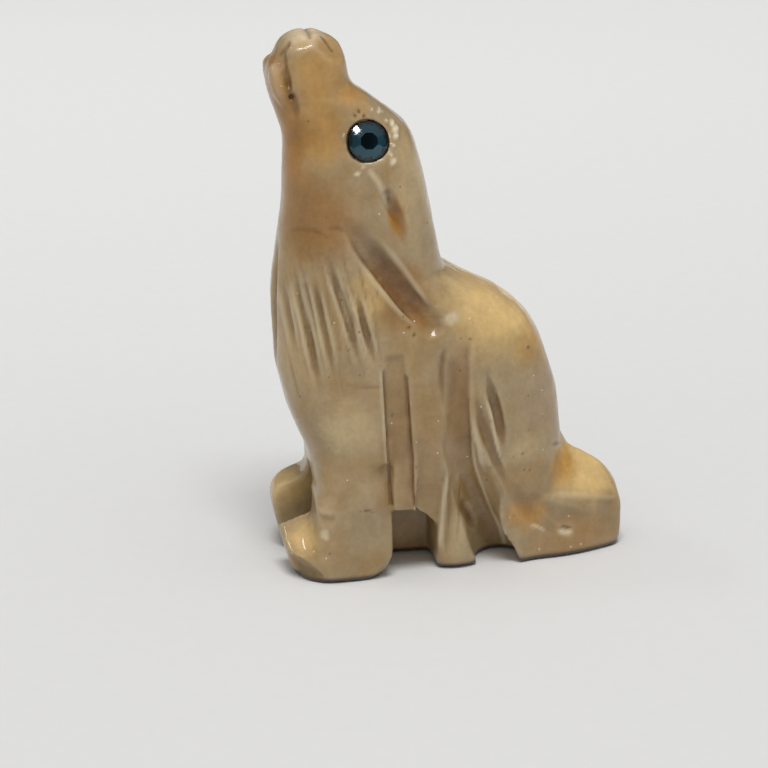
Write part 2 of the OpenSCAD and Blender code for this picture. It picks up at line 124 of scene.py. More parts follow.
def ramp(tree, value, low, high, to_low=0.0, to_high=1.0):
    inputs = {"Value": value, "From Min": low, "From Max": high, "To Min": to_low, "To Max": to_high}
    return add(tree, "MapRange", inputs, interpolation_type="SMOOTHSTEP").outputs[0]


def grain(tree, place, per_mm, detail=3.0, rough=0.55):
    inputs = {"Vector": place, "Scale": per_mm, "Detail": detail, "Roughness": rough}
    return add(tree, "TexNoise", inputs).outputs["Fac"]


def new_finish(name):
    finish = bpy.data.materials.new(name)
    finish.use_nodes = True
    tree = finish.node_tree
    tree.nodes.clear()
    shader = add(tree, "BsdfPrincipled")
    output = add(tree, "OutputMaterial")
    tree.links.new(shader.outputs[0], output.inputs["Surface"])
    place = add(tree, "TexCoord").outputs["Object"]
    in_mm = move(tree, "MULTIPLY", place, (1.0 / MM, 1.0 / MM, 1.0 / MM))
    return finish, tree, shader, in_mm


print("node helpers ready")

# %% [markdown]
# The floor is a sheet of pale paper that runs past the frame on every side. It could curve up into a
# backdrop, but from this height the camera sees only the floor, so a flat sheet is enough. It lies a
# hair under the stone, so the two faces never share a plane. Its colour grows paler toward the back:
# painted light, for the brighter light on the far floor.

# %% Floor
SHEET_HALF = 1.5
FLOOR_GAP = 0.01 * MM
PAPER_DARK = (0.725, 0.726, 0.72)
PAPER_LIGHT = (0.755, 0.756, 0.752)

sheet = bmesh.new()
bmesh.ops.create_grid(sheet, x_segments=8, y_segments=8, size=SHEET_HALF)
bmesh.ops.translate(sheet, verts=sheet.verts, vec=(0.0, 0.0, -FLOOR_GAP))
floor_mesh = bpy.data.meshes.new("floor")
sheet.to_mesh(floor_mesh)
sheet.free()
floor = bpy.data.objects.new("floor", floor_mesh)
scene.collection.objects.link(floor)

paper, tree, shader, in_mm = new_finish("pale_paper")
fibres = grain(tree, in_mm, 0.9, 4.0)
shade = tint(tree, fibres, PAPER_DARK, PAPER_LIGHT)
toward_back = add(tree, "SeparateXYZ", {0: in_mm}).outputs["Y"]
# Painted light: the paper's colour is made paler toward the back.
shade = tint(tree, 1.0, shade, ramp(tree, toward_back, -40.0, 170.0, 0.98, 1.25), "MULTIPLY")
tree.links.new(shade, shader.inputs["Base Color"])
shader.inputs["Roughness"].default_value = 0.9
shader.inputs["Specular IOR Level"].default_value = 0.2
floor_mesh.materials.append(paper)
print("floor laid")

# %% [markdown]
# The photo is lit softly, from above and from the front: the back and the tail are bright, the flank that
# faces us is raked by the light, and the shadow falls behind. A window at the upper left adds no light to
# speak of, but it glints on the stone. A facet mirrors a whole lamp, so the small white glint in the eye
# has a lamp of its own, the pane, which stands where one facet of the left crystal mirrors it. The sky
# fills the shadows. It is dark where the photographer stood, and the eye's table mirrors that.

# %% Lights
def lamp(name, at, toward, size, watts):
    data = bpy.data.lights.new(name, "AREA")
    data.shape = "RECTANGLE"
    data.size, data.size_y = size
    data.energy = watts
    made = bpy.data.objects.new(name, data)
    facing_away = (at - toward).to_track_quat("Z", "Y").to_matrix().to_4x4()
    made.matrix_world = Matrix.Translation(at) @ facing_away
    scene.collection.objects.link(made)


STAND = Vector((0.0, 0.0, 0.01))
HEAD = Vector((-0.006, -0.003, 0.029))
LEFT_EYE = Vector((-0.0064, -0.0034, 0.0296))
lamp("key_lamp", Vector((-0.02, -0.20, 0.55)), STAND, (0.20, 0.14), 1.7)
lamp("window", Vector((-0.29, 0.08, 0.42)), HEAD, (0.06, 0.03), 0.1)
lamp("pane", Vector((-0.3121, -0.0156, 0.4251)), LEFT_EYE, (0.0024, 0.0013), 0.0003)
print("lamps hung")

# %% Sky
PHOTOGRAPHER = (0.09, -0.95, 0.30)
DAYLIGHT = (1.0, 0.995, 0.98, 1.0)
sky = bpy.data.worlds.new("sky")
scene.world = sky
sky.use_nodes = True
tree = sky.node_tree
tree.nodes.clear()
way = add(tree, "TexCoord").outputs["Generated"]
ways = add(tree, "SeparateXYZ", {0: way}).outputs
overhead = ramp(tree, ways["Z"], 0.0, 0.9, 0.17, 0.59)
from_front = ramp(tree, ways["Y"], 0.8, -0.8, 0.7, 1.4)
toward_us = add(tree, "VectorMath", {0: way, 1: PHOTOGRAPHER}, operation="DOT_PRODUCT").outputs["Value"]
shadowed = ramp(tree, toward_us, 0.95, 0.985, 1.0, 0.15)
strength = calc(tree, "MULTIPLY", calc(tree, "MULTIPLY", overhead, from_front), shadowed)
daylight = add(tree, "Background", {"Color": DAYLIGHT, "Strength": strength})
sky_out = add(tree, "OutputWorld")
tree.links.new(daylight.outputs[0], sky_out.inputs["Surface"])
scene.view_settings.view_transform = "Standard"
print("lit")

# %% [markdown]
# The stone starts as a copy of the CAD body. Its triangles are long and thin, which is no good for
# carving, so a voxel remesh lays an even net of small squares over it. Subdividing would give far more
# faces for the same detail, and sculpting by hand could not be repeated. The net's pitch is small enough
# for the finest stroke and keeps the piece under 200,000 triangles.

# %% Even skin over the stone
SKIN_PITCH = 0.152 * MM
block = bmesh.new()
block.from_mesh(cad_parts["stone_body"].data)
bmesh.ops.remove_doubles(block, verts=block.verts, dist=0.001 * MM)
stone_mesh = bpy.data.meshes.new("carved_stone")
block.to_mesh(stone_mesh)
block.free()
stone = bpy.data.objects.new("carved_stone", stone_mesh)
scene.collection.objects.link(stone)
skin = stone.modifiers.new("skin", "REMESH")
skin.mode = "VOXEL"
skin.voxel_size = SKIN_PITCH
even = bpy.data.meshes.new_from_object(stone.evaluated_get(bpy.context.evaluated_depsgraph_get()))
stone.modifiers.clear()
stone.data = even
print("skin:", len(even.vertices), "points,", len(even.polygons), "faces")

# %% [markdown]
# A carver first smooths the block, then cuts. The smoothing takes off the tiny steps that the net leaves
# on slanted faces. Some spots get more of it: the near paw runs into the leg without an edge, the hind paw
# is worn round, and the mouth is a shallow groove rather than a slit, so its floor is raised first. The
# points and the directions in which the stone faces are then kept as plain arrays, in millimetres, so a
# cut is one sum over the whole stone.

# %% Helpers that smooth a mesh and read its points
def polish(mesh, rounds, low=(-99, -99, -99), high=(99, 99, 99), share=0.5):
    form = bmesh.new()
    form.from_mesh(mesh)
    chosen = [v for v in form.verts if all(a * MM < c < b * MM for a, c, b in zip(low, v.co, high))]
    for _ in range(rounds):
        bmesh.ops.smooth_vert(
            form, verts=chosen, factor=share, use_axis_x=True, use_axis_y=True, use_axis_z=True
        )
    form.to_mesh(mesh)
    form.free()


def read_points(mesh):
    flat = np.empty(len(mesh.vertices) * 3)
    mesh.vertices.foreach_get("co", flat)
    return flat.reshape(-1, 3) / MM


def read_facing(mesh):
    flat = np.empty(len(mesh.vertices) * 3, np.float32)
    mesh.vertex_normals.foreach_get("vector", flat)
    return flat.reshape(-1, 3).astype(float)


def write_points(mesh, places):
    mesh.vertices.foreach_set("co", (places * MM).ravel())
    mesh.update()


print("points before carving:", len(read_points(even)))

# %% Raise the mouth's floor
MOUTH_FLOOR = 1.9
MOUTH_WEB = 1.3
MOUTH_X = -10.5
MOUTH_LEAN = 0.165
MOUTH_HALF_W = 0.4
MOUTH_LOW, MOUTH_MIDDLE, MOUTH_HIGH = 29.0, 33.5, 33.6

points = read_points(even)
along_body, across_body, up_body = points.T
slit_x = MOUTH_X + MOUTH_LEAN * (MOUTH_MIDDLE - up_body)
in_slit = np.abs(along_body - slit_x) < MOUTH_HALF_W
in_slit &= (up_body > MOUTH_LOW) & (up_body < MOUTH_HIGH)
in_slit &= (np.abs(across_body) > MOUTH_WEB) & (np.abs(across_body) < MOUTH_FLOOR)
points[in_slit, 1] = np.sign(points[in_slit, 1]) * MOUTH_FLOOR
write_points(even, points)
print("points raised in the mouth:", int(in_slit.sum()))

# %% Soften the block
NEAR_PAW = ((-10.3, -6.0, 0.5), (-7.3, -1.8, 4.9))
polish(even, 4)
polish(even, 66, *NEAR_PAW)
SOFT_SPOTS = {
    "mouth": ((-11.3, 1.3, 28.9), (-9.2, 3.0, 33.9), 12),
    "leg bevel": ((-6.6, 3.0, 6.6), (-4.2, 6.0, 9.8), 29),
    "hind paw": ((-2.3, 1.8, -0.1), (3.0, 6.0, 7.5), 18),
    "end of the groove": ((-3.6, 3.0, 15.4), (-0.8, 6.0, 18.2), 15),
}
for low, high, rounds in SOFT_SPOTS.values():
    polish(even, rounds, low, high)
    polish(even, rounds, (low[0], -high[1], low[2]), (high[0], -low[1], high[2]))
points = read_points(even)
facing = read_facing(even)
hand = np.random.default_rng(11)
print("points to carve:", len(points))

# %% [markdown]
# The CAD body has the large flat cuts. A few small ones are left to the knife: the nick between the toes
# of the near paw, its scuffed corner, and the worn rear corner of its sole. A flat cut takes off what
# stands proud of a plane, within a box whose edges fade. The foot of the hind paw, of the flap behind it
# and of the tail is drawn out a little, so the carving widens where it stands.

# %% Small flat cuts and the foot
BIG = 99.0


def ease(low, high, value):
    t = np.clip((value - low) / (high - low), 0, 1)
    return t * t * (3 - 2 * t)


def shave(on, outward, low, high, fade=0.3):
    level = np.array(outward) / np.linalg.norm(outward)
    proud = np.clip((points - np.array(on)) @ level, 0, None)
    inside = np.ones(len(points))
    for axis in range(3):
        inside *= ease(low[axis] - fade, low[axis], points[:, axis])
        inside *= ease(high[axis] + fade, high[axis], points[:, axis])
    points[:] -= np.outer(proud * inside, level)


shave((-9.9, -4.55, 1.7), (-0.65, -0.48, -0.59), (-BIG, -BIG, 0.3), (-9.0, -3.4, 2.2))
shave((-9.2, -4.95, 3.5), (-0.35, -0.85, 0.4), (-10.5, -BIG, 2.6), (-8.2, -3.8, 4.6))
shave((-4.9, -4.5, 0.9), (0.55, -0.7, -0.45), (-6.0, -BIG, -1.0), (-4.0, -3.0, 1.6))


def draw_out(centre, reach, by):
    for sign in (-1, 1):
        mirrored = np.array([1, sign, 1])
        away = np.linalg.norm((points - np.array(centre) * mirrored) / reach, axis=1)
        points[:] += ease(1, 0, away)[:, None] * np.array(by) * mirrored


draw_out((3.9, 3.9, 0.0), (2.3, 2.2, 4.0), (-0.6, 0.5, 0.0))
draw_out((3.7, 3.5, 3.0), (2.0, 2.0, 2.8), (-0.6, 0.1, 0.0))
draw_out((0.0, 3.6, 0.0), (2.4, 2.2, 4.0), (0.0, 0.5, 0.0))
draw_out((8.5, 2.6, 0.0), (4.5, 2.2, 3.0), (0.0, 0.45, 0.0))
print("flat cuts made")

# %% [markdown]
# The stone closes in on the eyes, so only a thin line of glue shows round the glass. The place and the
# tilt of each eye are read from its foil's CAD solid. The lip of the socket is then moved toward the
# eye's axis, and less so further out.

# %% Tighten the sockets
EYE_R = 1.22
LIP_R = 1.65
LIP_MOVE = 0.21
LIP_FADE_R = 2.8
LIP_REACH = 3.2


def eye_seat(side):
    disc = read_points(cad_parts[side + "_eye_foil"].data)
    middle = disc.mean(0)
    axis = np.linalg.svd(disc - middle)[2][2]
    axis = axis * np.sign(axis[1] * middle[1])
    height = (disc - middle) @ axis
    return Vector(middle + axis * height.max()), Vector(axis)


def from_axis(places, side):
    seat, axis = eye_seat(side)
    offset = places - np.array(seat)
    outward = offset - np.outer(offset @ np.array(axis), axis)
    return outward, np.linalg.norm(outward, axis=1), np.linalg.norm(offset, axis=1)


for side in ("left", "right"):
    outward, radius, reach = from_axis(points, side)
    inward = LIP_MOVE * ease(LIP_FADE_R, LIP_R, radius) * np.clip(radius / LIP_R, 0, 1)
    inward = inward * (reach < LIP_REACH)
    points -= outward * (inward / np.maximum(radius, 0.01))[:, None]
    print(side, "eye faces", [round(v, 2) for v in eye_seat(side)[1]])

# %% [markdown]
# A stroke follows a few points that lie where the photo shows it. On a flank they are given as distance
# along the body and height, on the chest as distance across and height, on top as distance along and
# across. A gouge leaves a round valley, a knife a sharp one, a step has a wall on one side, and a swell
# raises the stone instead. Strokes start and end in a point. Each darkens its valley, partly as polish
# and dirt, partly as painted shade, or leaves a pale line, partly rubbed and partly painted highlight.

# %% The carver's strokes
cut_depth = np.zeros(len(points))
raised = np.zeros(len(points))
stain_and_shade = np.zeros(len(points))
rubbed_and_lit = np.zeros(len(points))
WALL_W = 0.17
MARGIN = 0.3


def rounded(corners, steps=6):
    p = np.array([corners[0], *corners, corners[-1]], float)
    t = np.linspace(0, 1, steps, endpoint=False)[:, None]
    spans = []
    for a, b, c, d in zip(p, p[1:], p[2:], p[3:]):
        bend = (2 * a - 5 * b + 4 * c - d) * t**2 + (3 * b - a - 3 * c + d) * t**3
        spans.append(b + 0.5 * ((c - a) * t + bend))
    return np.vstack([*spans, p[-1]])


def along(corners, across, height):
    path = rounded(corners)
    runs = np.diff(path, axis=0)
    lengths = np.hypot(runs[:, 0], runs[:, 1])
    begun = np.concatenate([[0.0], np.cumsum(lengths)])
    away = np.full(len(across), BIG)
    side = np.zeros(len(across))
    share = np.zeros(len(across))
    for start, run, length, before in zip(path, runs, lengths, begun):
        step = run / length
        dx = across - start[0]
        dz = height - start[1]
        t = np.clip(dx * step[0] + dz * step[1], 0, length)
        off = np.hypot(dx - t * step[0], dz - t * step[1])
        near = off < away
        away[near] = off[near]
        side[near] = np.sign(dz * step[0] - dx * step[1])[near]
        share[near] = ((before + t) / begun[-1])[near]
    return away, side, share


def profile(shape, away, side, width):
    d = np.clip(away / width, 0, 1)
    if shape == "gouge":
        return 1 - d**2
    if shape == "knife":
        return 1 - d
    if shape == "step":
        return np.where(side > 0, np.clip(1 - away / WALL_W, 0, 1), (1 - d) ** 1.3)
    return 0.5 + 0.5 * np.cos(np.pi * d)


def seen_from(face):
    if face == "front":
        return points[:, 1], points[:, 2], ease(0.05, 0.4, -facing[:, 0])
    if face == "top":
        return points[:, 0], points[:, 1], ease(0.05, 0.4, facing[:, 2])
    sign = -1 if face == "left" else 1
    outside = ease(0.4, 1.2, points[:, 1] * sign)
    return points[:, 0], points[:, 2], ease(0.05, 0.4, facing[:, 1] * sign) * outside


def stroke(faces, corners, width, depth, shape="gouge", ends=(0.3, 0.3), dirt_and_shade=0.5, rub=0.0):
    for face in faces.split():
        nudge = np.zeros(2)
        press = depth
        if face == "right":
            nudge = hand.normal(0, 0.1, 2)
            press = depth * hand.uniform(0.85, 1.1)
        path = np.array(corners) + nudge
        low = path.min(0) - width - MARGIN
        high = path.max(0) + width + MARGIN
        across, height, seen = seen_from(face)
        near = (across > low[0]) & (across < high[0]) & (height > low[1]) & (height < high[1]) & (seen > 0)
        away, side, share = along(path, across[near], height[near])
        reach = ease(0, max(ends[0], 0.01), share) * ease(0, max(ends[1], 0.01), 1 - share)
        made = profile(shape, away, side, width * (0.4 + 0.6 * reach)) * reach * seen[near]
        if shape == "swell":
            raised[near] += press * made
        else:
            cut_depth[near] = np.maximum(cut_depth[near], press * made)
        # The valley is darkened: partly polish and dirt, partly painted shade.
        stain_and_shade[near] = np.maximum(stain_and_shade[near], dirt_and_shade * made)
        # The rub share lays a pale line: partly wear, partly a painted highlight on an edge.
        rubbed_and_lit[near] = np.maximum(rubbed_and_lit[near], rub * made)


print("strokes are cut to a depth in mm")

# %% [markdown]
# The head comes first. The slit of the mouth gets a sharp upper lip and a bulging jaw, and runs out in a
# shallow line. A faint crease crosses the throat. Behind the ear runs a deep groove, which the CAD body
# already has: its lower lip is made crisp, with the deepest part of the groove right beside it. The inner
# ear is deepened, and a thin ridge joins it to the eye.

# %% Mouth and ear
BOTH = "left right"
stroke(BOTH, [(-10.65, 34.7), (-10.5, 33.5), (-10.25, 31.7), (-9.9, 29.8)], 0.6, 0.16, "step",
       (0.1, 0.5), 0.8)
stroke(BOTH, [(-11.1, 34.0), (-11.15, 33.0), (-10.95, 31.8), (-10.5, 30.4)], 0.5, 0.28, "swell",
       (0.3, 0.4), 0.0, 0.1)
stroke(BOTH, [(-10.3, 32.0), (-10.05, 31.0), (-9.9, 30.3), (-9.8, 29.8)], 0.35, 0.07, "gouge",
       (0.2, 0.5), 0.8)
stroke(BOTH, [(-10.7, 22.7), (-9.9, 23.2), (-8.8, 23.2), (-8.0, 22.7)], 0.2, 0.03, "knife",
       (0.3, 0.3), 0.4)
stroke(BOTH, [(-10.1, 34.9), (-10.5, 34.4), (-11.0, 33.7)], 0.22, 0.2, "knife", (0.2, 0.2), 0.8)
stroke(BOTH, [(-2.5, 17.0), (-3.9, 18.6), (-5.3, 20.4), (-6.6, 22.2), (-7.4, 24.4)], 1.5, 0.46, "step",
       (0.2, 0.5), 1.0)
stroke(BOTH, [(-2.9, 17.0), (-4.2, 18.5), (-5.6, 20.3), (-6.8, 22.0)], 0.3, 0.1, "swell",
       (0.3, 0.5), 0.0, 0.3)
stroke(BOTH, [(-1.9, 17.2), (-3.6, 19.4), (-5.2, 21.6), (-6.6, 23.6)], 0.9, 0.03, "gouge", (0.2, 0.4), 0.9)
stroke(BOTH, [(-1.7, 17.9), (-3.5, 20.7), (-5.6, 23.5)], 0.3, 0.07, "swell", (0.2, 0.4), 0.0, 0.25)
stroke(BOTH, [(-4.8, 26.0), (-4.3, 25.0), (-3.8, 24.0), (-3.2, 22.6)], 0.55, 0.16, "gouge",
       (0.1, 0.6), 0.4)
stroke(BOTH, [(-4.8, 25.9), (-4.45, 25.2), (-4.1, 24.5)], 0.3, 0.2, "knife", (0.1, 0.5), 1.0)
stroke(BOTH, [(-5.9, 27.4), (-5.2, 26.5), (-4.8, 25.6), (-4.4, 24.4)], 0.3, 0.1, "swell",
       (0.2, 0.4), 0.0, 0.4)
stroke(BOTH, [(-2.3, 26.1), (-1.6, 23.2), (-1.0, 21.0)], 0.5, 0.07, "swell", (0.3, 0.4), 0.0, 0.2)
print("deepest cut so far:", round(cut_depth.max(), 2), "mm")

# %% [markdown]
# In front of the thigh a wide flute ends in the sharp front edge of the haunch, which curls back to the
# floor like a flap. In it stands the hind paw, with a hollow behind it. The straight channel behind the
# front leg has crisp sides.

# %% Flute, hind paw and channel
stroke(BOTH, [(0.8, 10.5), (1.4, 7.4), (2.5, 4.6), (3.4, 2.4)], 0.8, 0.25, "swell", (0.4, 0.4), 0)
stroke(BOTH, [(0.5, 16.2), (0.45, 13.5), (0.45, 10.9), (0.65, 9.3), (1.1, 7.2)], 1.3, 0.2, "step",
       (0.15, 0.3), 0.35)
stroke(BOTH, [(0.5, 11.0), (1.1, 7.9), (2.2, 4.5), (3.25, 1.9), (3.75, 0.3)], 0.2, 0.08, "swell",
       (0.2, 0.0), 0.0, 0.5)
stroke(BOTH, [(-0.1, 8.5), (1.2, 5.0), (2.6, 1.6), (3.1, 0.0)], 0.8, 0.1, "gouge", (0.5, 0.0), 0.4)
stroke(BOTH, [(-1.0, 15.9), (-1.25, 14.0), (-1.0, 11.0)], 0.3, 0.1, "knife", (0.2, 0.6), 0.8)
stroke(BOTH, [(-0.3, 15.6), (-0.4, 12.0), (-0.2, 9.0)], 0.8, 0.08, "gouge", (0.2, 0.5), 0.3)
stroke(BOTH, [(-0.7, 0.8), (-0.6, 3.4), (-0.5, 5.6), (-0.4, 7.6)], 0.9, 0.2, "step", (0.2, 0.4), 0.2)
stroke(BOTH, [(-1.1, 1.0), (-1.0, 3.4), (-0.95, 5.1), (-0.75, 7.8)], 0.24, 0.12, "swell",
       (0.2, 0.3), 0.0, 0.5)
stroke(BOTH, [(-0.1, 1.2), (0.1, 3.0), (0.3, 5.4), (0.3, 7.4)], 0.18, 0.08, "knife", (0.3, 0.4), 0.4)
stroke(BOTH, [(0.2, 5.0), (0.9, 3.6), (1.8, 1.8)], 0.4, 0.2, "gouge", (0.3, 0.3), 0.6)
# Both knife lines are stained dark as painted shade along the channel's walls.
stroke(BOTH, [(-4.93, 14.6), (-4.7, 10.0), (-4.33, 5.0)], 0.17, 0.12, "knife", (0.05, 0.0), 0.9)
stroke(BOTH, [(-3.52, 14.2), (-3.25, 10.0), (-2.93, 5.0)], 0.17, 0.12, "knife", (0.05, 0.0), 1.0)
stroke(BOTH, [(-5.1, 14.8), (-4.85, 10.0), (-4.5, 6.0)], 0.2, 0.05, "swell", (0.1, 0.2), 0.0, 0.3)
print("points cut:", int((cut_depth > 0.02).sum()))

# %% [markdown]
# Fur is cut as long, slightly curved strokes: a mane of gouges on the chest, two tapering grooves on the
# thigh with sharp ridges between them, and hollows that sweep round onto the tail. The CAD body has the
# main ones, which are drawn out here. The thin hairs between them are strewn by a seeded hand.

# %% Fur strokes
MANE = [
    ([(-10.9, 20.0), (-10.6, 17.4), (-10.2, 14.6)], 0.20, 0.14, 0.3),
    ([(-10.3, 21.2), (-10.0, 19.0), (-9.4, 16.2), (-8.8, 12.4)], 0.26, 0.20, 0.5),
    ([(-9.8, 20.6), (-9.4, 18.4), (-8.9, 15.8)], 0.20, 0.14, 0.3),
    ([(-9.2, 20.6), (-8.7, 17.8), (-8.3, 15.8), (-7.9, 13.4)], 0.24, 0.20, 0.4),
    ([(-8.3, 22.0), (-7.8, 19.9), (-7.2, 18.0), (-6.7, 16.0), (-6.2, 14.2)], 0.26, 0.20, 0.5),
    ([(-7.5, 20.4), (-7.0, 18.4), (-6.4, 16.2)], 0.20, 0.14, 0.3),
    ([(-6.6, 19.8), (-6.2, 17.8), (-5.8, 16.2), (-5.3, 14.3)], 0.24, 0.18, 0.45),
]
for line, width, depth, dirt_and_shade in MANE:
    stroke(BOTH, line, width, depth, "gouge", (0.3, 0.4), dirt_and_shade)
    for beside in (-1.4, 1.4):
        ridge = [(across + beside * width, height) for across, height in line]
        stroke(BOTH, ridge, width * 0.8, 0.05, "swell", (0.35, 0.45), 0.0, 0.3)
stroke(BOTH, [(1.6, 14.3), (2.1, 12.4), (2.6, 10.4), (2.95, 8.2)], 0.38, 0.24, "gouge", (0.45, 0.3), 0.6)
stroke(BOTH, [(0.9, 12.9), (1.4, 10.4), (2.1, 8.4), (3.0, 6.3), (4.0, 4.4)], 0.38, 0.2, "gouge",
       (0.35, 0.5), 0.45)
stroke(BOTH, [(1.4, 12.8), (1.9, 11.2), (2.25, 9.6), (2.7, 8.0), (3.3, 6.6)], 0.2, 0.13, "swell",
       (0.3, 0.4), 0.0, 0.5)
stroke(BOTH, [(0.65, 11.5), (0.95, 9.9), (1.4, 8.4), (2.0, 6.7)], 0.22, 0.1, "swell", (0.3, 0.3), 0.0, 0.4)
stroke(BOTH, [(2.9, 6.6), (4.8, 3.9), (7.3, 1.4)], 0.8, 0.2, "gouge", (0.4, 0.4), 0.1)
stroke(BOTH, [(4.0, 6.1), (6.0, 3.5), (9.8, 2.1)], 0.7, 0.16, "gouge", (0.4, 0.4), 0.15)
stroke(BOTH, [(5.8, 4.5), (8.6, 3.95), (11.3, 3.4)], 0.35, 0.09, "swell", (0.3, 0.1), 0.0, 0.1)
stroke(BOTH, [(6.2, 8.0), (6.8, 7.8), (7.4, 7.3)], 0.2, 0.1, "knife", (0.3, 0.3), 0.9)
stroke("front", [(-0.5, 22.4), (-0.6, 19.0), (-0.5, 16.0), (-0.3, 13.2)], 0.8, 0.5, "gouge",
       (0.4, 0.4), 0.7)
for _ in range(44):
    start = hand.uniform((-10.8, 15.5), (-5.2, 22.5))
    run = hand.uniform(2.0, 5.0)
    lean = hand.uniform(0.12, 0.22)
    hair = [start, start + (lean * run / 2, -run / 2), start + (lean * run, -run)]
    stroke(BOTH, hair, 0.14, hand.uniform(0.02, 0.06), "knife", (0.4, 0.4), hand.uniform(0.1, 0.4))
print("points cut:", int((cut_depth > 0.02).sum()))

# %% [markdown]
# Small marks make it a thing somebody made: the cleft of the nose, a chip in the tail, scratches on the
# leg, and a burr of splinters that the drill left round each eye. The splinters are painted pale: painted
# light, for the bright flecks that the crystal throws onto the stone. Tiny pits are strewn over the
# flanks by a seeded hand.

# %% Small marks
stroke("top", [(-8.95, -1.5), (-8.85, 0.0), (-8.95, 1.5)], 0.25, 0.2, "knife", (0.1, 0.1), 0.5)
stroke("top", [(-8.3, -0.7), (-7.8, -1.0), (-7.4, -1.4)], 0.2, 0.14, "knife", (0.2, 0.2), 0.9)
stroke("top", [(-8.2, 0.8), (-7.8, 1.1), (-7.4, 1.5)], 0.2, 0.14, "knife", (0.2, 0.2), 0.9)
stroke("left", [(6.8, 1.95), (7.5, 1.65), (8.2, 1.65)], 0.26, 0.14, "knife", (0.3, 0.3), 0.0, 0.9)
stroke("left", [(7.1, 2.2), (7.6, 1.95), (8.0, 1.85)], 0.16, 0.16, "knife", (0.3, 0.3), 1.0)
stroke("left", [(4.9, 2.7), (5.6, 2.3), (6.2, 1.9)], 0.16, 0.05, "swell", (0.3, 0.3), 0.0, 0.5)
stroke("left", [(-7.6, 13.5), (-5.8, 13.3), (-3.8, 13.4)], 0.14, 0.04, "knife", (0.3, 0.3), 0.25)
stroke("left", [(-6.4, 5.0), (-6.0, 5.1), (-5.4, 4.85)], 0.12, 0.03, "knife", (0.3, 0.3), 0.9)
stroke("left", [(-8.4, 23.4), (-7.6, 23.5), (-7.0, 23.2)], 0.2, 0.05, "knife", (0.3, 0.3), 0.5)

print("points cut:", int((cut_depth > 0.02).sum()))

# %% Splinters round the eyes, painted pale as light from the crystals
EYE_MIDDLE = (-5.65, 28.85)
SPLINTER_H = 0.14
LIT_SPLINTERS = [
    (76, 1.62, 1.80, 0.10), (59, 1.55, 1.98, 0.14), (52, 1.70, 1.85, 0.12), (36, 1.50, 1.72, 0.13),
    (24, 1.62, 2.10, 0.26), (13, 1.58, 2.22, 0.32), (3, 1.55, 2.05, 0.26), (-13, 1.50, 1.76, 0.14),
    (-41, 1.72, 2.20, 0.36), (-33, 1.52, 1.74, 0.18), (-111, 1.90, 2.28, 0.26), (-104, 1.46, 1.66, 0.12),
    (164, 1.46, 1.62, 0.14),
]
for degrees, near, far, width in LIT_SPLINTERS:
    ray = np.array([math.cos(math.radians(degrees)), math.sin(math.radians(degrees))])
    line = [EYE_MIDDLE + ray * r for r in (near, (near + far) / 2, far)]
    # A full rub paints each splinter pale: painted light from the crystal.
    stroke(BOTH, line, width, SPLINTER_H, "swell", (0.25, 0.35), 0.0, 1.0)
print(len(LIT_SPLINTERS), "splinters at each eye")


# %% Pits
def pit(face, across, height, radius, depth):
    along_x, along_z, seen = seen_from(face)
    d = np.clip(np.hypot(along_x - across, along_z - height) / radius, 0, 1)
    cut_depth[:] = np.maximum(cut_depth, depth * (1 - d**2) * seen)
    stain_and_shade[:] = np.maximum(stain_and_shade, ease(1, 0.3, d) * seen)


SPOTS = [
    (-4.45, 19.95), (-3.3, 17.1), (-2.95, 16.6), (4.7, 14.8), (-6.4, 30.4), (-6.1, 30.6), (-5.8, 30.3),
]
for across, height in SPOTS:
    pit("left", across, height, 0.15, 0.12)
for _ in range(40):
    face = hand.choice(["left", "right"])
    pit(face, hand.uniform(-10.5, 7.0), hand.uniform(1.0, 27.0), hand.uniform(0.09, 0.15), 0.05)
print("points stained:", int((stain_and_shade > 0.5).sum()))

# %% [markdown]
# Now the strokes are cut into the points, along the directions in which the stone faces. A slow, faint
# waviness is added to them, because no hand polishes dead flat and a lacquered face shows it at once. The
# foot of the stone is smoothed more than the rest: its worn edge leaves the thin dark line of shadow on
# the table. The sole itself stays flat on the floor.

# %% Apply the strokes
WAVE_MM = 2.6
WAVE_H = 0.08
RIPPLE_MM = 0.8
RIPPLE_H = 0.02
SOLE_H = 0.12
FOOT_H = 0.55
wave = np.array([noise.noise(Vector(p) / WAVE_MM) for p in points]) * WAVE_H
ripple = np.array([noise.noise(Vector(p) / RIPPLE_MM) for p in points]) * RIPPLE_H
sole = (points[:, 2] < SOLE_H) & (facing[:, 2] < -0.7)
lift = np.where(sole, 0, raised - cut_depth + wave + ripple)
points += facing * lift[:, None]
write_points(even, points)
polish(even, 1)
polish(even, 16, high=(BIG, BIG, FOOT_H))
points = read_points(even)
points[:, 2] = np.maximum(points[:, 2] - points[:, 2].min(), 0)
write_points(even, points)
print("carved; highest point", round(points[:, 2].max(), 2), "mm")

# %% [markdown]
# Wear, dirt and painted light follow the relief: ridges turn pale, partly as wear and partly as painted
# highlight, and valleys brown, partly as polish and partly as painted shade. A polished copy of the
# carving tells them apart, because a ridge stands above the copy and a valley lies below it. Along the
# foot the stone is painted near black: painted shade, for the contact shadow where it meets the table.
# All of it goes onto the stone as attributes that its material reads.

# %% Ridges and valleys
FULL_RELIEF = 0.05
FOOT_SHADE_TOP = 0.5
FOOT_SHADE_FULL = 0.25
soft = even.copy()
polish(soft, 7)
relief = ((points - read_points(soft)) * read_facing(even)).sum(1)
bpy.data.meshes.remove(soft)


def keep(mesh, name, values):
    layer = mesh.attributes.new(name, "FLOAT", "POINT")
    layer.data.foreach_set("value", np.clip(values, 0, 1).astype(np.float32))


# Pale ridges: partly wear, partly painted highlight.
keep(even, "ridge", relief / FULL_RELIEF)
# Dark valleys: partly dirt, partly painted shade in the hollows.
keep(even, "valley", -relief / FULL_RELIEF)
keep(even, "stain_and_shade", stain_and_shade)
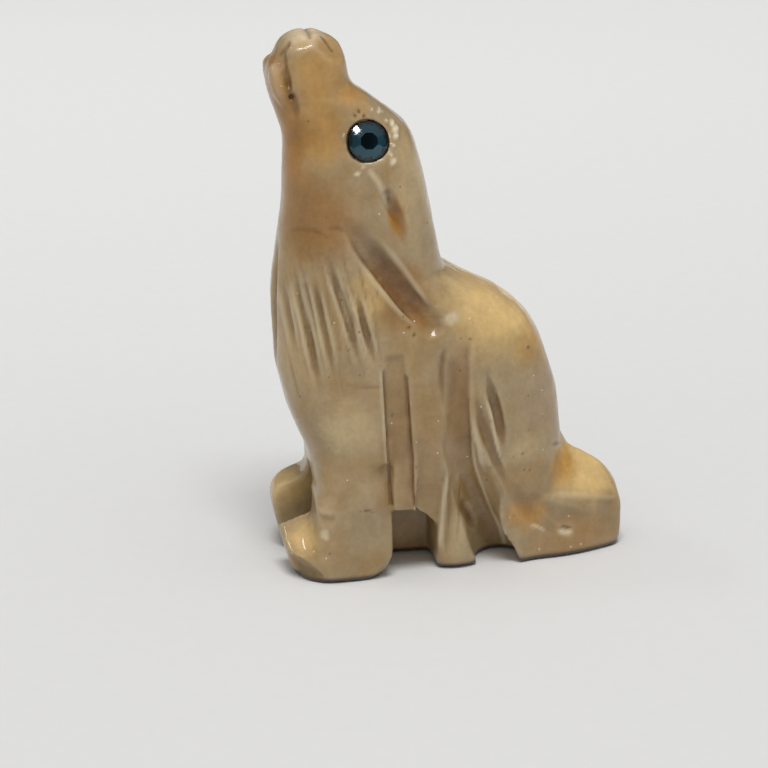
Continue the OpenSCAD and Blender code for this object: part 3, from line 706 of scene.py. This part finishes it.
# Painted shade: near black along the foot, for the contact shadow on the table.
keep(even, "foot_shade", ease(FOOT_SHADE_TOP, FOOT_SHADE_FULL, points[:, 2]))
keep(even, "rubbed_and_lit", rubbed_and_lit)
even.polygons.foreach_set("use_smooth", np.ones(len(even.polygons), bool))
print("relief in mm:", round(relief.min(), 3), "to", round(relief.max(), 3))

# %% [markdown]
# The stone is a soft, banded one. Its colours lie in the block as clouds: yellow on the back, the tail
# and the snout, orange on the throat, grey on the haunch. A node group makes one cloud, and is placed once
# for each. Painting on an unwrapped picture would leave seams, and here nothing needs unwrapping.

# %% A cloud of colour
cloud = bpy.data.node_groups.new("stone_cloud", "ShaderNodeTree")
for name in ("Place", "Centre", "Reach"):
    cloud.interface.new_socket(name, in_out="INPUT", socket_type="NodeSocketVector")
cloud.interface.new_socket("Share", in_out="OUTPUT", socket_type="NodeSocketFloat")
given = cloud.nodes.new("NodeGroupInput").outputs
result = cloud.nodes.new("NodeGroupOutput").inputs
offset = move(cloud, "SUBTRACT", given["Place"], given["Centre"])
scaled = move(cloud, "DIVIDE", offset, given["Reach"])
far = add(cloud, "VectorMath", {0: scaled}, operation="LENGTH").outputs["Value"]
cloud.links.new(ramp(cloud, far, 1.15, 0.25), result["Share"])
print("cloud group:", len(cloud.nodes), "nodes")

# %% [markdown]
# Ten colours are mixed to match the stone in the photo, as a painter sets out a palette. Each cloud is
# then given a place, a reach along the three axes, a colour and a strength. The places that the clouds see
# are first pushed about by a slow noise, so no cloud has a plain round edge. Most clouds lie on the left
# side, which the photo shows. The unseen side keeps more of the plain stone.

# %% Palette of the polished stone
polished, tree, shader, in_mm = new_finish("polished_stone")
drift = add(tree, "TexNoise", {"Vector": in_mm, "Scale": 0.4, "Detail": 4.0}).outputs["Color"]
centred = move(tree, "SUBTRACT", drift, (0.5, 0.5, 0.5))
ragged = move(tree, "ADD", in_mm, move(tree, "MULTIPLY", centred, (2.6, 2.6, 2.6)))

TAN = (0.37, 0.242, 0.103)
DULL = (0.36, 0.26, 0.14)
GOLD = (0.72, 0.49, 0.195)
HONEY = (0.48, 0.25, 0.055)
AMBER = (0.36, 0.158, 0.014)
RUST = (0.30, 0.145, 0.035)
BROWN = (0.32, 0.185, 0.07)
GREY = (0.38, 0.275, 0.16)
PALE = (0.49, 0.365, 0.19)
CREAM = (0.66, 0.53, 0.34)
stone_colour = tint(tree, ramp(tree, grain(tree, ragged, 0.25), 0.4, 0.6), TAN, DULL)
print("palette mixed")

# %% Clouds of the polished stone
CLOUDS = {
    "back": ((3.0, -1.5, 17.6), (5.2, 6.5, 4.0), GOLD, 0.95),
    "rump": ((5.4, -2.5, 14.8), (1.9, 3.0, 1.8), HONEY, 0.45),
    "tail top": ((9.2, 0.0, 5.8), (3.6, 6.0, 2.6), GOLD, 0.95),
    "tail root": ((7.2, -1.8, 6.5), (2.0, 2.6, 1.6), HONEY, 0.9),
    "tail side": ((8.6, -3.0, 1.2), (4.6, 3.0, 2.3), BROWN, 0.85),
    "snout": ((-8.4, -1.5, 32.9), (2.6, 5.0, 2.6), HONEY, 0.6),
    "nose": ((-9.0, 0.0, 35.2), (1.6, 3.0, 1.0), CREAM, 0.9),
    "jaw": ((-11.2, -1.0, 32.2), (1.1, 3.0, 2.4), AMBER, 0.9),
    "cheek": ((-8.8, -2.8, 29.4), (2.0, 3.0, 2.8), HONEY, 0.9),
    "brow": ((-6.4, -1.5, 31.2), (1.2, 3.0, 1.0), HONEY, 0.8),
    "throat": ((-10.6, -1.5, 28.0), (2.0, 5.0, 5.0), AMBER, 0.95),
    "neck": ((-8.8, -3.0, 23.8), (3.2, 4.0, 3.2), RUST, 0.9),
    "nape": ((-2.9, -3.0, 25.8), (2.0, 5.0, 4.4), PALE, 0.85),
    "ear": ((-3.7, -3.8, 23.9), (0.9, 1.5, 1.6), AMBER, 0.95),
    "shoulder": ((-5.4, -4.4, 19.2), (1.5, 2.0, 2.0), GOLD, 0.5),
    "chest": ((-10.4, -3.0, 15.6), (2.6, 4.0, 4.6), PALE, 0.45),
    "white spot": ((-0.7, -4.5, 17.3), (1.1, 1.4, 0.7), CREAM, 0.9),
    "haunch": ((5.4, -3.6, 11.6), (2.6, 3.5, 3.0), GREY, 0.85),
    "thigh": ((4.8, -4.0, 8.2), (2.2, 3.0, 1.8), PALE, 0.8),
    "groove": ((-3.7, -4.3, 19.3), (2.1, 1.6, 2.6), RUST, 0.9),
    "groove end": ((-2.6, -4.2, 17.7), (1.3, 1.2, 1.5), RUST, 0.85),
    "channel": ((-4.1, -4.6, 9.5), (0.9, 1.5, 5.0), BROWN, 0.7),
    "flute": ((0.0, -4.8, 11.5), (1.2, 2.5, 4.8), BROWN, 0.85),
    "belly": ((-2.2, -4.8, 8.8), (1.8, 3.0, 4.5), BROWN, 0.5),
    "leg": ((-7.2, -4.8, 10.4), (2.2, 3.0, 2.6), PALE, 0.85),
    "near paw": ((-9.9, -3.5, 2.8), (1.4, 2.0, 1.3), GOLD, 0.7),
    "scuff": ((-8.8, -5.0, 3.5), (0.6, 1.0, 0.6), CREAM, 0.9),
    "far paw": ((-10.6, 2.0, 4.4), (2.0, 3.0, 2.0), GOLD, 0.8),
    "hind paw": ((-0.2, -3.8, 2.2), (1.4, 2.5, 2.4), PALE, 0.85),
    "flap": ((4.6, -3.4, 3.5), (2.0, 2.5, 1.3), HONEY, 0.9),
}
for centre, reach, colour, strength in CLOUDS.values():
    made = add(tree, "Group", node_tree=cloud)
    tree.links.new(ragged, made.inputs["Place"])
    made.inputs["Centre"].default_value = centre
    made.inputs["Reach"].default_value = reach
    share = calc(tree, "MULTIPLY", made.outputs["Share"], strength)
    stone_colour = tint(tree, share, stone_colour, colour)
print(len(CLOUDS), "clouds of colour")

# %% [markdown]
# Over the clouds lie finer things: a mottle, flecks and upright streaks in the stone, dirt and painted
# shade in the cuts, pale ridges and rubbed lines that are partly wear and partly painted highlight, dark
# specks, pale specks that are partly dust and partly painted sparkle, and painted shade along the foot.
# The first three only make the stone a little darker or lighter. The others are layers, each with a
# mask, a strength and a colour, laid on in the order of the list.

# %% Grain, dirt and wear
drawn = move(tree, "MULTIPLY", in_mm, (1.5, 1.5, 0.3))
GRAINS = {
    "mottle": (in_mm, 0.5, 4.0, 0.1),
    "flecks": (in_mm, 3.2, 3.0, 0.05),
    "streaks": (drawn, 1.0, 4.0, 0.04),
}
for place, per_mm, detail, swing in GRAINS.values():
    shade = ramp(tree, grain(tree, place, per_mm, detail), 0.3, 0.7, 1.0 - swing, 1.0 + swing)
    stone_colour = tint(tree, 1.0, stone_colour, shade, "MULTIPLY")


def painted(name):
    return add(tree, "Attribute", attribute_name=name).outputs["Fac"]


def specks(per_mm, radius, rarity):
    cells = add(tree, "TexVoronoi", {"Vector": in_mm, "Scale": per_mm})
    chance = add(tree, "SeparateColor", {0: cells.outputs["Color"]}).outputs[0]
    picked = calc(tree, "GREATER_THAN", chance, rarity)
    return calc(tree, "MULTIPLY", ramp(tree, cells.outputs["Distance"], radius, radius / 2), picked)


patchy = ramp(tree, grain(tree, in_mm, 1.7, 3.0), 0.3, 0.65, 0.5, 0.95)
LAYERS = {
    # cuts darkened, partly polish, partly painted shade
    "polish and painted shade in the cuts": (painted("stain_and_shade"), patchy, (0.15, 0.065, 0.018)),
    # valleys darkened, partly dirt, partly painted shade
    "dirt in the valleys": (painted("valley"), 0.4, (0.14, 0.075, 0.03)),
    # ridges made pale, partly wear, partly painted highlight
    "worn and lit ridges": (painted("ridge"), 0.3, (0.60, 0.49, 0.32)),
    # pale lines, partly wear, partly painted highlight
    "rubbed lines": (painted("rubbed_and_lit"), 0.9, (0.80, 0.70, 0.50)),
    "dark specks": (specks(1.1, 0.12, 0.8), 0.6, (0.11, 0.07, 0.035)),
    # pale specks: partly dust, partly painted sparkling glints
    "dust_and_sparkle": (specks(1.4, 0.11, 0.86), 0.7, (0.78, 0.72, 0.60)),
    # painted shade along the foot
    "foot_shade": (painted("foot_shade"), 0.9, (0.035, 0.022, 0.012)),
}
for mask, strength, colour in LAYERS.values():
    stone_colour = tint(tree, calc(tree, "MULTIPLY", mask, strength), stone_colour, colour)
tree.links.new(stone_colour, shader.inputs["Base Color"])
print(len(GRAINS), "grains and", len(LAYERS), "layers")

# %% [markdown]
# The stone under the lacquer is only half polished, so it is rather rough, with fine pores as a bump. The
# lacquer is the shader's coat: smooth and clear, with sharp glints of its own. A second skin of clear
# varnish would double the mesh for a film that is too thin to see.

# %% Gloss
rub = ramp(tree, grain(tree, in_mm, 1.6, 4.0), 0.3, 0.7, 0.32, 0.5)
tree.links.new(rub, shader.inputs["Roughness"])
shader.inputs["Specular IOR Level"].default_value = 0.25
shader.inputs["Coat Weight"].default_value = 0.55
shader.inputs["Coat Roughness"].default_value = 0.06
pores = grain(tree, in_mm, 4.0, 5.0, 0.6)
dimple = add(tree, "Bump", {"Strength": 0.15, "Distance": 0.05 * MM, "Height": pores})
tree.links.new(dimple.outputs[0], shader.inputs["Normal"])
even.materials.clear()
even.materials.append(polished)
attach(stone, "root")
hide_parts("stone_body")
print("stone finished")

# %% [markdown]
# Each eye is a stock crystal: a round girdle, a crown of flat facets and an eight-sided table, with blue
# mirror foil on its flat back. It stands on the foil, in its socket. A round bar is cut with flat planes,
# as the glass is ground, and not modelled facet by facet.

# %% Cut the crystals
GIRDLE_H = 0.35
CROWN_H = 0.574
TABLE_R = 0.56
SHOULDER_R = 0.97
SHOULDER_H = 0.3
FACETS = 8
LEVEL = 0.99


def cut_facets(form, turned, from_r, from_z, to_r, to_z):
    for k in range(FACETS):
        angle = 2 * math.pi * (k + turned) / FACETS
        outward = Vector((math.cos(angle), math.sin(angle), 0))
        on_plane = outward * from_r + Vector((0, 0, from_z))
        lean = outward * (from_z - to_z) + Vector((0, 0, to_r - from_r))
        geometry = [*form.verts, *form.edges, *form.faces]
        cut = bmesh.ops.bisect_plane(
            form, geom=geometry, plane_co=on_plane, plane_no=lean, clear_outer=True
        )
        rim = [e for e in cut["geom_cut"] if isinstance(e, bmesh.types.BMEdge)]
        if rim:
            bmesh.ops.contextual_create(form, geom=rim)


crystals = []
for side in ("left", "right"):
    form = bmesh.new()
    bmesh.ops.create_cone(
        form, cap_ends=True, segments=48, radius1=EYE_R, radius2=EYE_R, depth=GIRDLE_H + CROWN_H
    )
    bmesh.ops.translate(form, verts=form.verts, vec=(0, 0, (GIRDLE_H + CROWN_H) / 2))
    flat_r = TABLE_R * math.cos(math.pi / FACETS)
    cut_facets(form, 0.0, flat_r, GIRDLE_H + CROWN_H, EYE_R, GIRDLE_H)
    cut_facets(form, 0.5, SHOULDER_R, GIRDLE_H + SHOULDER_H, EYE_R, GIRDLE_H)
    seat, axis = eye_seat(side)
    turn = axis.to_track_quat("Z", "Y").to_matrix().to_4x4()
    placed = Matrix.Scale(MM, 4) @ Matrix.Translation(seat) @ turn
    bmesh.ops.transform(form, matrix=placed, verts=form.verts)
    bmesh.ops.recalc_face_normals(form, faces=form.faces)
    mesh = bpy.data.meshes.new(side + "_crystal")
    form.to_mesh(mesh)
    form.free()
    table = mesh.attributes.new("table", "FLOAT", "FACE")
    level = [float(facet.normal.dot(axis) > LEVEL) for facet in mesh.polygons]
    table.data.foreach_set("value", np.array(level, np.float32))
    crystal = bpy.data.objects.new(side + "_crystal", mesh)
    scene.collection.objects.link(crystal)
    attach(crystal, "root")
    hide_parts(side + "_eye_crystal")
    crystals.append(crystal)
    print(crystal.name, len(mesh.polygons), "facets")

# %% [markdown]
# The crown's facets show the foil, teal and blue. The table in the middle mirrors the dark room instead,
# so the glass is given a near black under the table. Toward its edge the glass is painted dark and
# broken, and so is the foil under it: painted shade, for the dark rim of the crystal in its socket. Both
# follow the distance from the eye's axis. One finish serves both eyes, since they mirror each other
# across y = 0: coordinates without their signs lay one over the other.

# %% Crystal and foil finishes
TEAL_GLASS = (0.14, 0.72, 0.84)
DARK_TABLE = (0.015, 0.015, 0.02)
GLASS_EDGE_SHADE = (0.04, 0.06, 0.04)
FOIL_DEEP = (0.09, 0.38, 0.47)
FOIL_PALE = (0.26, 0.62, 0.68)
FOIL_EDGE_SHADE = (0.03, 0.034, 0.02)


def from_eye_axis(tree, in_mm):
    seat, axis = eye_seat("left")
    folded = add(tree, "VectorMath", {0: in_mm}, operation="ABSOLUTE").outputs[0]
    from_middle = move(tree, "SUBTRACT", folded, tuple(abs(place) for place in seat))
    flipped = tuple(math.copysign(part, part * place) for part, place in zip(axis, seat))
    across = move(tree, "CROSS_PRODUCT", from_middle, flipped)
    return add(tree, "VectorMath", {0: across}, operation="LENGTH").outputs["Value"]


teal, tree, shader, in_mm = new_finish("teal_crystal")
on_table = add(tree, "Attribute", attribute_name="table").outputs["Fac"]
glass = tint(tree, on_table, TEAL_GLASS, DARK_TABLE)
ragged_edge = ramp(tree, grain(tree, in_mm, 2.6, 3.0), 0.35, 0.65, -0.1, 0.1)
from_rim = calc(tree, "ADD", from_eye_axis(tree, in_mm), ragged_edge)
# Painted shade: the glass is darkened toward its rim.
glass = tint(tree, ramp(tree, from_rim, 0.98, 1.12), glass, GLASS_EDGE_SHADE)
tree.links.new(glass, shader.inputs["Base Color"])
shader.inputs["Transmission Weight"].default_value = 1.0
shader.inputs["IOR"].default_value = 1.56
scuffs = ramp(tree, grain(tree, in_mm, 6.0, 4.0), 0.55, 0.75, 0.01, 0.02)
tree.links.new(scuffs, shader.inputs["Roughness"])
for crystal in crystals:
    crystal.data.materials.append(teal)

mirror_foil, tree, shader, in_mm = new_finish("blue_foil")
ring = tint(tree, grain(tree, in_mm, 3.0, 2.0), FOIL_DEEP, FOIL_PALE)
# Painted shade: the foil is darkened toward its rim.
foil_edge_shaded = ramp(tree, from_eye_axis(tree, in_mm), 1.0, 1.12)
tree.links.new(tint(tree, foil_edge_shaded, ring, FOIL_EDGE_SHADE), shader.inputs["Base Color"])
shader.inputs["Metallic"].default_value = 1.0
shader.inputs["Roughness"].default_value = 0.35
for side in ("left", "right"):
    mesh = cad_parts[side + "_eye_foil"].data
    mesh.materials.clear()
    mesh.materials.append(mirror_foil)
print("crystals and foils finished")

# %% [markdown]
# Glue holds each crystal in its socket. It is painted near black in broken patches: painted shade, for
# the shadowed gap round the glass, which shows as a thin broken line. The CAD solid already has its
# shape, so a copy of it is only narrowed, to fit the tighter socket.

# %% Glue
GLUE_GAP = 0.02
GLUE_NARROWED = 0.7
GLUE_SHADE = (0.012, 0.011, 0.008)
GLUE_PALE = (0.16, 0.14, 0.09)
shaded_glue, tree, shader, in_mm = new_finish("clear_glue")
glue_patches = ramp(tree, grain(tree, in_mm, 1.5, 3.0), 0.4, 0.62)
# Painted shade: the glue is near black, for the shadowed gap round the glass.
tree.links.new(tint(tree, glue_patches, GLUE_SHADE, GLUE_PALE), shader.inputs["Base Color"])
shader.inputs["Transmission Weight"].default_value = 0.1
shader.inputs["IOR"].default_value = 1.49
shader.inputs["Roughness"].default_value = 0.08

for side in ("left", "right"):
    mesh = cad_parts[side + "_eye_glue"].data.copy()
    places = read_points(mesh)
    outward, radius, _ = from_axis(places, side)
    too_wide = np.clip(radius - EYE_R - GLUE_GAP, 0, None) * GLUE_NARROWED
    write_points(mesh, places - outward * (too_wide / np.maximum(radius, 0.01))[:, None])
    mesh.materials.clear()
    mesh.materials.append(shaded_glue)
    glue = bpy.data.objects.new(side + "_glue", mesh)
    scene.collection.objects.link(glue)
    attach(glue, "root")
    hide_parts(side + "_eye_glue")
print("glue finished")
